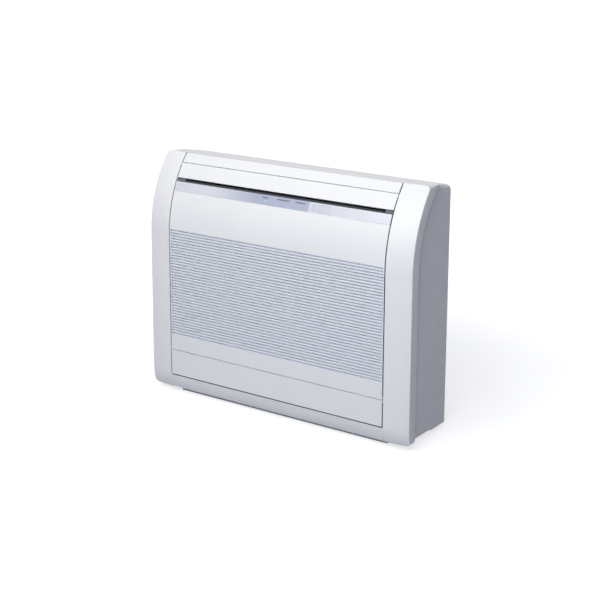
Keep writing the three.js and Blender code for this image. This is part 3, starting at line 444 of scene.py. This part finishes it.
def softened(node, surface, width):
    """The node's own shape with its sharp edges rounded, shown in its place."""
    made = bmesh.new()
    made.from_mesh(frame["nodes"][node].data)
    bmesh.ops.remove_doubles(made, verts=made.verts, dist=SAME_POINT)
    bmesh.ops.dissolve_limit(
        made, angle_limit=FLAT_ANGLE, verts=made.verts, edges=made.edges
    )
    sharp = []
    for edge in made.edges:
        if len(edge.link_faces) == 2 and edge.calc_face_angle(0) > EDGE_ANGLE:
            sharp.append(edge)
    bmesh.ops.bevel(
        made,
        geom=sharp,
        offset=width,
        offset_type="OFFSET",
        segments=BEVEL_STEPS,
        profile=ROUND_PROFILE,
        affect="EDGES",
        clamp_overlap=True,
    )
    mesh = bpy.data.meshes.new(node + "_shell")
    made.to_mesh(mesh)
    made.free()
    if "custom_normal" in mesh.attributes:
        mesh.attributes.remove(mesh.attributes["custom_normal"])
    mesh.shade_smooth()
    mesh.set_sharp_from_angle(angle=SHELL_SMOOTH_ANGLE)
    body = body_of(frame["nodes"][node])[0]
    piece = add_piece(node + "_shell", mesh, body, surface)
    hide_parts(node)
    even = piece.modifiers.new("even_normals", "WEIGHTED_NORMAL")
    even.keep_sharp = True


SHELLS = {
    "right_side_cover": (white, 1.2 * MM),
    "left_side_cover": (white, 1.2 * MM),
    "rear_casing": (white, 1.0 * MM),
    "top_cover": (white, 0.6 * MM),
    "top_rail": (white, 0.25 * MM),
    "intake_grille": (grille_white, 0.35 * MM),
    "bottom_fascia": (white, 0.6 * MM),
    "upper_louver": (white, 0.25 * MM),
    "lower_louver": (white, 0.5 * MM),
    "display_strip": (strip_silver, 0.3 * MM),
}
for node, (surface, width) in SHELLS.items():
    softened(node, surface, width)

# ---------------------------------------------------------------- front face geometry
ARCH_RADIUS = 294 * MM
TOE_RADIUS = 90 * MM
TOE_START = 56 * MM
CREST_ANGLE = math.radians(40.9)
FRONT_Y = cad_box[0][1]
TOP_Z = cad_box[1][2]
ARCH_Y = FRONT_Y + ARCH_RADIUS
ARCH_Z = TOP_Z - ARCH_RADIUS * math.sin(CREST_ANGLE)
PANEL_HALF = -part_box("display_strip")[0][0]


def face(z, inset):
    """The point behind the front face, square to it, by the height where it is met."""
    if z < TOE_START:
        angle = math.asin((TOE_START - z) / TOE_RADIUS)
        radius = TOE_RADIUS - inset
        return (
            FRONT_Y + TOE_RADIUS - radius * math.cos(angle),
            TOE_START - radius * math.sin(angle),
        )
    if z <= ARCH_Z:
        return FRONT_Y + inset, z
    angle = math.asin((z - ARCH_Z) / ARCH_RADIUS)
    radius = ARCH_RADIUS - inset
    return ARCH_Y - radius * math.cos(angle), ARCH_Z + radius * math.sin(angle)


def arch_height(degrees):
    """The height of a place on the arch, by its angle over the arch's level radius."""
    return ARCH_Z + ARCH_RADIUS * math.sin(math.radians(degrees))


def layer(heights, outer, inner):
    """The outline of a layer between two insets, through a list of heights."""
    front_side = [face(z, outer) for z in heights]
    rear_side = [face(z, inner) for z in reversed(heights)]
    return front_side + rear_side


def bar_along_x(made, outline, low, high):
    """Adds a closed bar with an outline of (y, z) points between two places in x."""
    ends = []
    for x in (low, high):
        ends.append([made.verts.new((x, y, z)) for y, z in outline])
    count = len(outline)
    for i in range(count):
        after = (i + 1) % count
        made.faces.new((ends[0][i], ends[1][i], ends[1][after], ends[0][after]))
    made.faces.new(ends[0])
    made.faces.new(list(reversed(ends[1])))


def finished(made, name, body, surface):
    """Turns what a function has made into a piece that rides on a body."""
    bmesh.ops.recalc_face_normals(made, faces=made.faces)
    mesh = bpy.data.meshes.new(name)
    made.to_mesh(mesh)
    made.free()
    mesh.shade_smooth()
    mesh.set_sharp_from_angle(angle=PIECE_SMOOTH_ANGLE)
    add_piece(name, mesh, body, surface)


# ---------------------------------------------------------------- blades of the intake
SLOT_COUNT = 38
SLOT_LOWEST = 158.9 * MM
SLOT_TOP_DROP = 180.25 * MM
SLOT_OPENING = 2.7 * MM
GRILLE_WALL = 2.5 * MM
BLADE_SINK = 0.2 * MM
BLADE_SHIFT = 0.3 * MM
BLADE_DEPTH = 3.6 * MM
BLADE_RISE = 3.4 * MM
BLADE_BEND_DEPTH = 0.45
BLADE_BEND_RISE = 0.3
BLADE_THICKNESS = 1.08 * MM
BLADE_END_MARGIN = 4 * MM


def intake_blades():
    """One inclined blade behind each slot of the grille, bent once on its way up."""
    made = bmesh.new()
    highest = TOP_Z - SLOT_TOP_DROP
    reach = PANEL_HALF - BLADE_END_MARGIN
    for i in range(SLOT_COUNT):
        z = SLOT_LOWEST + (highest - SLOT_LOWEST) * i / (SLOT_COUNT - 1)
        foot = z - SLOT_OPENING / 2 - BLADE_SHIFT
        bend = foot + BLADE_RISE * BLADE_BEND_RISE
        front_side = [
            face(foot, GRILLE_WALL - BLADE_SINK),
            face(bend, GRILLE_WALL + BLADE_DEPTH * BLADE_BEND_DEPTH),
            face(foot + BLADE_RISE, GRILLE_WALL + BLADE_DEPTH),
        ]
        rear_side = [(y, up - BLADE_THICKNESS) for y, up in reversed(front_side)]
        bar_along_x(made, front_side + rear_side, -reach, reach)
    finished(made, "intake_blades", "grille", blade_shaded_white)


intake_blades()

# ---------------------------------------------------------------- marks on the strip
MARK_ANGLE = 24.75
MARK_HEIGHT = 2.8 * MM
MARK_WIDTHS = (17 * MM, 34 * MM, 28 * MM)
MARK_PROUD = 0.06 * MM
MARK_SINK = 0.3 * MM


def strip_marks():
    """A plain dash over each indicator window."""
    made = bmesh.new()
    middle_z = arch_height(MARK_ANGLE)
    heights = (middle_z - MARK_HEIGHT / 2, middle_z + MARK_HEIGHT / 2)
    for i, mark_width in enumerate(MARK_WIDTHS):
        lens_low, lens_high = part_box(f"indicator_lens_{i + 1}")
        middle_x = (lens_low[0] + lens_high[0]) / 2
        outline = layer(heights, -MARK_PROUD, MARK_SINK)
        bar_along_x(made, outline, middle_x - mark_width / 2, middle_x + mark_width / 2)
    finished(made, "strip_marks", "grille", mark_grey)


strip_marks()

# ---------------------------------------------------------------- lip of the outlet
SLOT_LOW_ANGLE = 26.0
SLOT_HIGH_ANGLE = 28.0
LIP_DROP = 0.4 * MM
LIP_FRONT = 1.6 * MM
LIP_REACH = 17 * MM
LIP_RISE = 1.9 * MM
LIP_THICKNESS = 1.2 * MM
LIP_HALF = 286.5 * MM
LIP_END_SHARE = 0.55
LIP_BEND_REACH = 0.5
LIP_BEND_RISE = 0.7
CHEEK_INSET = 6.5 * MM
CHEEK_THICKNESS = 1.5 * MM
CHEEK_OVERLAP = 5 * MM
CHEEK_LOW_ANGLE = SLOT_LOW_ANGLE - 0.2
CHEEK_HIGH_ANGLE = SLOT_HIGH_ANGLE - 0.1
END_MARGIN = 1 * MM


def outlet_lip():
    """The ledge behind the strip's top edge, shorter beside the duct, and its two end cheeks."""
    made = bmesh.new()
    reach_x = PANEL_HALF - END_MARGIN
    lip_y, lip_z = face(arch_height(SLOT_LOW_ANGLE) - LIP_DROP, LIP_FRONT)
    for low, high, share in (
        (-reach_x, -LIP_HALF, LIP_END_SHARE),
        (-LIP_HALF, LIP_HALF, 1.0),
        (LIP_HALF, reach_x, LIP_END_SHARE),
    ):
        reach, rise = LIP_REACH * share, LIP_RISE * share
        top = [
            (lip_y, lip_z),
            (lip_y + reach * LIP_BEND_REACH, lip_z + rise * LIP_BEND_RISE),
            (lip_y + reach, lip_z + rise),
        ]
        under = [(y, z - LIP_THICKNESS) for y, z in reversed(top)]
        bar_along_x(made, top + under, low, high)
    heights = (arch_height(CHEEK_LOW_ANGLE), arch_height(CHEEK_HIGH_ANGLE))
    cheek = layer(heights, CHEEK_INSET, CHEEK_INSET + CHEEK_THICKNESS)
    bar_along_x(made, cheek, -reach_x, -LIP_HALF + CHEEK_OVERLAP)
    bar_along_x(made, cheek, LIP_HALF - CHEEK_OVERLAP, reach_x)
    finished(made, "outlet_lip", "grille", lip_grey)


outlet_lip()

# ---------------------------------------------------------------- painted shade in the seams
COVER_GAP = 3 * MM
SHADOW_INSET = 1.0 * MM
SHADOW_DEPTH = 3.0 * MM
SHADOW_PANEL_CLEAR = 0.7 * MM
SHADOW_COVER_CLEAR = 0.4 * MM
SHADOW_STEPS = 26
SHADOW_BOTTOM = 50.6 * MM
HINGES_LOW = 105 * MM
HINGES_HIGH = 127 * MM
SHADOW_TOP_DROP = 34 * MM


def right_seam_shadow():
    """A near-black bar of painted shade in the gap beside the right side cover, left out beside
    the hinge pins.
    """
    made = bmesh.new()
    for start, end in ((SHADOW_BOTTOM, HINGES_LOW), (HINGES_HIGH, TOP_Z - SHADOW_TOP_DROP)):
        heights = []
        for i in range(SHADOW_STEPS + 1):
            heights.append(start + (end - start) * i / SHADOW_STEPS)
        outline = layer(heights, SHADOW_INSET, SHADOW_INSET + SHADOW_DEPTH)
        low = PANEL_HALF + SHADOW_PANEL_CLEAR
        bar_along_x(made, outline, low, PANEL_HALF + COVER_GAP - SHADOW_COVER_CLEAR)
    finished(made, "right_seam_shadow", "chassis", seam_shadow_black)


right_seam_shadow()


def cross_bar(name, low, high, outer, inner):
    """A near-black bar of painted shade across the front behind a level seam."""
    made = bmesh.new()
    reach = PANEL_HALF - END_MARGIN
    bar_along_x(made, layer((low, high), outer, inner), -reach, reach)
    finished(made, name, "chassis", seam_shadow_black)


# Painted shade behind the seam over the bottom fascia.
FASCIA_SHADOW_LOW = 49.55 * MM
FASCIA_SHADOW_HIGH = 51.7 * MM
FASCIA_SHADOW_FRONT = 1.2 * MM
FASCIA_SHADOW_REAR = 4 * MM
cross_bar("fascia_shadow_bar", FASCIA_SHADOW_LOW, FASCIA_SHADOW_HIGH, FASCIA_SHADOW_FRONT, FASCIA_SHADOW_REAR)

# Painted shade behind the seam at the top of the lower flap.
FLAP_SHADOW_LOW = 108 * MM
FLAP_SHADOW_HIGH = 119 * MM
FLAP_SHADOW_FRONT = 8.6 * MM
FLAP_SHADOW_REAR = 10 * MM
cross_bar("flap_shadow_bar", FLAP_SHADOW_LOW, FLAP_SHADOW_HIGH, FLAP_SHADOW_FRONT, FLAP_SHADOW_REAR)

# ---------------------------------------------------------------- floor and surroundings
FLOOR_REACH = 30.0
FLOOR_DROP = 0.5 * MM
FLOOR_SEEN = (0.6, 0.6, 0.6)
FLOOR_UNSEEN = (0.21, 0.22, 0.29)
FLOOR_NEAR = 0.5
FLOOR_FAR = 1.6
FLOOR_NEAR_LIGHT = 0.68
FLOOR_FAR_LIGHT = 1.0
AMBIENT_COLOUR = (0.74, 0.80, 1.0)
AMBIENT_STRENGTH = 0.2


def seen_directly(nodes, links):
    """1 for what the camera sees straight, in a mirror or through glass, and 0 for the rest."""
    path = nodes.new("ShaderNodeLightPath")
    factor = path.outputs["Is Camera Ray"]
    for kind in ("Is Glossy Ray", "Is Transmission Ray"):
        either = nodes.new("ShaderNodeMath")
        either.operation = "MAXIMUM"
        links.new(factor, either.inputs[0])
        links.new(path.outputs[kind], either.inputs[1])
        factor = either.outputs[0]
    return factor


def floor_material():
    """A floor that looks white and keeps shadows, and throws little light on the object.

    Its own light, which only the camera sees, grows with the distance from the object.
    """
    material = bpy.data.materials.new("floor_white")
    material.use_nodes = True
    nodes = material.node_tree.nodes
    links = material.node_tree.links
    nodes.clear()
    output = nodes.new("ShaderNodeOutputMaterial")
    quiet = nodes.new("ShaderNodeBsdfDiffuse")
    quiet.inputs["Color"].default_value = (*FLOOR_UNSEEN, 1)
    bright = nodes.new("ShaderNodeBsdfDiffuse")
    bright.inputs["Color"].default_value = (*FLOOR_SEEN, 1)
    glow = nodes.new("ShaderNodeEmission")
    place = nodes.new("ShaderNodeTexCoord")
    distance = nodes.new("ShaderNodeVectorMath")
    distance.operation = "LENGTH"
    links.new(place.outputs["Object"], distance.inputs[0])
    strength = nodes.new("ShaderNodeMapRange")
    strength.inputs["From Min"].default_value = FLOOR_NEAR
    strength.inputs["From Max"].default_value = FLOOR_FAR
    strength.inputs["To Min"].default_value = FLOOR_NEAR_LIGHT
    strength.inputs["To Max"].default_value = FLOOR_FAR_LIGHT
    links.new(distance.outputs["Value"], strength.inputs["Value"])
    links.new(strength.outputs["Result"], glow.inputs["Strength"])
    lit = nodes.new("ShaderNodeAddShader")
    links.new(bright.outputs[0], lit.inputs[0])
    links.new(glow.outputs[0], lit.inputs[1])
    choose = nodes.new("ShaderNodeMixShader")
    links.new(seen_directly(nodes, links), choose.inputs["Fac"])
    links.new(quiet.outputs[0], choose.inputs[1])
    links.new(lit.outputs[0], choose.inputs[2])
    links.new(choose.outputs[0], output.inputs["Surface"])
    return material


def lay_floor():
    """A wide floor just under the feet, which isn't part of the object."""
    mesh = bpy.data.meshes.new("floor")
    made = bmesh.new()
    bmesh.ops.create_grid(made, x_segments=1, y_segments=1, size=FLOOR_REACH)
    made.to_mesh(mesh)
    made.free()
    mesh.materials.append(floor_material())
    floor = bpy.data.objects.new("floor", mesh)
    bpy.context.scene.collection.objects.link(floor)
    floor.location = (0, 0, -FLOOR_DROP)


def surround():
    """White behind the object, and a weak bluish light from all sides on it."""
    world = bpy.data.worlds.new("studio")
    bpy.context.scene.world = world
    world.use_nodes = True
    nodes = world.node_tree.nodes
    links = world.node_tree.links
    nodes.clear()
    output = nodes.new("ShaderNodeOutputWorld")
    ambient = nodes.new("ShaderNodeBackground")
    ambient.inputs["Color"].default_value = (*AMBIENT_COLOUR, 1)
    ambient.inputs["Strength"].default_value = AMBIENT_STRENGTH
    backdrop = nodes.new("ShaderNodeBackground")
    backdrop.inputs["Color"].default_value = (1, 1, 1, 1)
    backdrop.inputs["Strength"].default_value = 1.0
    choose = nodes.new("ShaderNodeMixShader")
    links.new(seen_directly(nodes, links), choose.inputs["Fac"])
    links.new(ambient.outputs[0], choose.inputs[1])
    links.new(backdrop.outputs[0], choose.inputs[2])
    links.new(choose.outputs[0], output.inputs["Surface"])


lay_floor()
surround()


# ---------------------------------------------------------------- lamps
def softbox(name, place, aim, size, power, colour=(1, 1, 1)):
    """A rectangular lamp at a place, turned to what it aims at."""
    data = bpy.data.lights.new(name, "AREA")
    data.shape = "RECTANGLE"
    data.size, data.size_y = size
    data.energy = power
    data.color = colour
    lamp = bpy.data.objects.new(name, data)
    bpy.context.scene.collection.objects.link(lamp)
    turn = (Vector(aim) - Vector(place)).to_track_quat("-Z", "Y")
    lamp.matrix_world = Matrix.Translation(place) @ turn.to_matrix().to_4x4()


softbox(
    "key",
    place=(0.15, -2.25, 1.98),
    aim=(0, 0, 0.4),
    size=(2.4, 1.4),
    power=56,
    colour=(1.0, 0.995, 0.985),
)
softbox(
    "fill",
    place=(1.9, -2.9, 0.9),
    aim=(0.3, 0, 0.3),
    size=(1.2, 1.0),
    power=14,
    colour=(0.78, 0.86, 1.0),
)
softbox("overhead", place=(0, -0.3, 2.1), aim=(0, 0, 0.6), size=(1.8, 1.0), power=7)

bpy.context.scene.view_settings.view_transform = "Standard"
